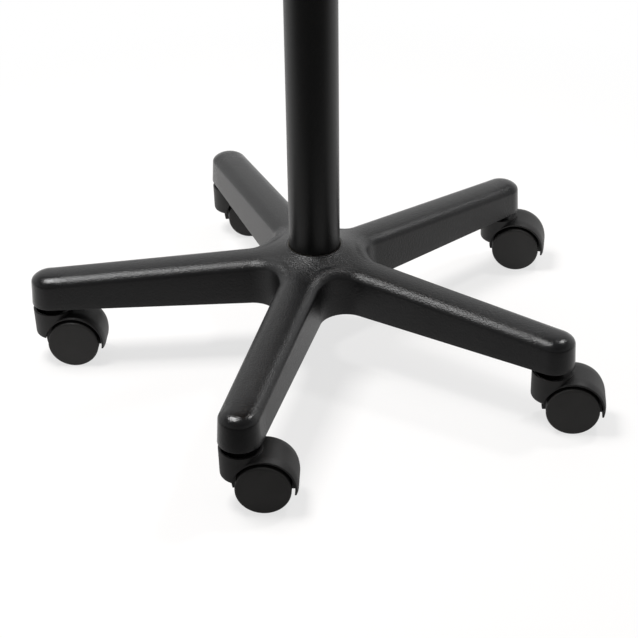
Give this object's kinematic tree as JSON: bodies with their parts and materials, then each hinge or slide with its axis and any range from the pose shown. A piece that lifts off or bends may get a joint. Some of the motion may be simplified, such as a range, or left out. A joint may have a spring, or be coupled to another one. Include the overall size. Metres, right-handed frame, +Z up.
{
  "type": "adjustable swivel stool",
  "caption": "Round padded stool on a gas spring column with a five-star black nylon base and hooded twin-wheel casters; the seat swivels and lifts.",
  "frame": {"origin": "the column's axis at floor level, where the casters' treads stand", "axes": "+Z up along the column's axis; +X to the right and +Y away from the front, with the casters trailing towards +X"},
  "size_m": [0.5536, 0.5475, 0.5338],
  "materials": {
    "base_nylon": "black glass-filled nylon with a fine leather grain",
    "hood_nylon": "fine matte black nylon",
    "wheel_nylon": "matte dark grey nylon",
    "column_paint": "semi-gloss black powder coat on steel",
    "cylinder_paint": "satin black finish on ground steel",
    "pressed_steel": "black powder coat on pressed steel",
    "bright_steel": "bright drawn steel",
    "zinc_steel": "zinc-plated steel",
    "bush_acetal": "black acetal",
    "seal_rubber": "black rubber",
    "board_plywood": "bare birch plywood",
    "seat_vinyl": "black vinyl-coated upholstery fabric over foam",
    "handle_plastic": "semi-gloss black plastic"
  },
  "bodies": {
    "base": {"base_star": "base_nylon", "caster_stem_1": "bright_steel", "caster_stem_2": "bright_steel", "caster_stem_3": "bright_steel", "caster_stem_4": "bright_steel", "caster_stem_5": "bright_steel", "grip_ring_1": "zinc_steel", "grip_ring_2": "zinc_steel", "grip_ring_3": "zinc_steel", "grip_ring_4": "zinc_steel", "grip_ring_5": "zinc_steel", "column_tube": "column_paint", "column_end_plate": "column_paint", "guide_bush": "bush_acetal", "bearing_lower_washer": "zinc_steel", "bearing_cage": "bright_steel"},
    "caster_1": {"caster_hood_1": "hood_nylon", "caster_axle_1": "bright_steel"},
    "caster_2": {"caster_hood_2": "hood_nylon", "caster_axle_2": "bright_steel"},
    "caster_3": {"caster_hood_3": "hood_nylon", "caster_axle_3": "bright_steel"},
    "caster_4": {"caster_hood_4": "hood_nylon", "caster_axle_4": "bright_steel"},
    "caster_5": {"caster_hood_5": "hood_nylon", "caster_axle_5": "bright_steel"},
    "left_wheel_1": {"wheel_left_1": "wheel_nylon"},
    "left_wheel_2": {"wheel_left_2": "wheel_nylon"},
    "left_wheel_3": {"wheel_left_3": "wheel_nylon"},
    "left_wheel_4": {"wheel_left_4": "wheel_nylon"},
    "left_wheel_5": {"wheel_left_5": "wheel_nylon"},
    "right_wheel_1": {"wheel_right_1": "wheel_nylon"},
    "right_wheel_2": {"wheel_right_2": "wheel_nylon"},
    "right_wheel_3": {"wheel_right_3": "wheel_nylon"},
    "right_wheel_4": {"wheel_right_4": "wheel_nylon"},
    "right_wheel_5": {"wheel_right_5": "wheel_nylon"},
    "rod": {"piston_rod": "bright_steel", "retaining_clip": "zinc_steel", "piston": "zinc_steel", "piston_ring": "seal_rubber", "bearing_upper_washer": "zinc_steel", "bump_stop": "seal_rubber"},
    "seat": {"lift_cylinder": "cylinder_paint", "rod_seal": "seal_rubber", "valve_plug": "zinc_steel", "seat_plate": "pressed_steel", "lever_pivot_pin": "zinc_steel", "seat_board": "board_plywood", "seat_screws": "zinc_steel", "tee_nuts": "zinc_steel", "seat_cushion": "seat_vinyl"},
    "release_button": {"release_pin": "bright_steel"},
    "lever": {"lever_bar": "pressed_steel", "lever_handle": "handle_plastic"}
  },
  "joints": [
    {"name": "caster_swivel_1", "type": "hinge", "parent": "base", "child": "caster_1", "pos_m": [-0.26117, -0.01506, 0.05], "axis": [0, 0, 1], "continuous": true},
    {"name": "caster_swivel_2", "type": "hinge", "parent": "base", "child": "caster_2", "pos_m": [-0.06638, -0.25304, 0.05], "axis": [0, 0, 1], "continuous": true},
    {"name": "caster_swivel_3", "type": "hinge", "parent": "base", "child": "caster_3", "pos_m": [0.22014, -0.14133, 0.05], "axis": [0, 0, 1], "continuous": true},
    {"name": "caster_swivel_4", "type": "hinge", "parent": "base", "child": "caster_4", "pos_m": [0.20244, 0.16569, 0.05], "axis": [0, 0, 1], "continuous": true},
    {"name": "caster_swivel_5", "type": "hinge", "parent": "base", "child": "caster_5", "pos_m": [-0.09503, 0.24373, 0.05], "axis": [0, 0, 1], "continuous": true},
    {"name": "left_wheel_roll_1", "type": "hinge", "parent": "caster_1", "child": "left_wheel_1", "pos_m": [-0.24118, -0.01569, 0.025], "axis": [0.0314, 0.9995, 0], "continuous": true},
    {"name": "right_wheel_roll_1", "type": "hinge", "parent": "caster_1", "child": "right_wheel_1", "pos_m": [-0.24118, -0.01569, 0.025], "axis": [0.0314, 0.9995, 0], "continuous": true},
    {"name": "left_wheel_roll_2", "type": "hinge", "parent": "caster_2", "child": "left_wheel_2", "pos_m": [-0.0464, -0.25391, 0.025], "axis": [0.0436, 0.999, 0], "continuous": true},
    {"name": "right_wheel_roll_2", "type": "hinge", "parent": "caster_2", "child": "right_wheel_2", "pos_m": [-0.0464, -0.25391, 0.025], "axis": [0.0436, 0.999, 0], "continuous": true},
    {"name": "left_wheel_roll_3", "type": "hinge", "parent": "caster_3", "child": "left_wheel_3", "pos_m": [0.24001, -0.14363, 0.025], "axis": [0.1149, 0.9934, 0], "continuous": true},
    {"name": "right_wheel_roll_3", "type": "hinge", "parent": "caster_3", "child": "right_wheel_3", "pos_m": [0.24001, -0.14363, 0.025], "axis": [0.1149, 0.9934, 0], "continuous": true},
    {"name": "left_wheel_roll_4", "type": "hinge", "parent": "caster_4", "child": "left_wheel_4", "pos_m": [0.22213, 0.16222, 0.025], "axis": [0.1736, 0.9848, 0], "continuous": true},
    {"name": "right_wheel_roll_4", "type": "hinge", "parent": "caster_4", "child": "right_wheel_4", "pos_m": [0.22213, 0.16222, 0.025], "axis": [0.1736, 0.9848, 0], "continuous": true},
    {"name": "left_wheel_roll_5", "type": "hinge", "parent": "caster_5", "child": "left_wheel_5", "pos_m": [-0.0752, 0.24634, 0.025], "axis": [-0.1305, 0.9914, 0], "continuous": true},
    {"name": "right_wheel_roll_5", "type": "hinge", "parent": "caster_5", "child": "right_wheel_5", "pos_m": [-0.0752, 0.24634, 0.025], "axis": [-0.1305, 0.9914, 0], "continuous": true},
    {"name": "seat_swivel", "type": "hinge", "parent": "base", "child": "rod", "pos_m": [0, 0, 0.06], "axis": [0, 0, 1], "continuous": true},
    {"name": "seat_lift", "type": "slide", "parent": "rod", "child": "seat", "axis": [0, 0, 1], "range_m": [0, 0.2]},
    {"name": "lever_tilt", "type": "hinge", "parent": "seat", "child": "lever", "pos_m": [0.043, 0, 0.45], "axis": [0, -1, 0], "range_deg": [0, 4.8], "stiffness_Nm_per_rad": 3, "springref_deg": -5.73},
    {"name": "button_press", "type": "slide", "parent": "seat", "child": "release_button", "axis": [0, 0, -1], "range_m": [0, 0.0039]}
  ],
  "couplings": [
    {"joint": "button_press", "follows": "lever_tilt", "m_per_rad": 0.0455}
  ]
}
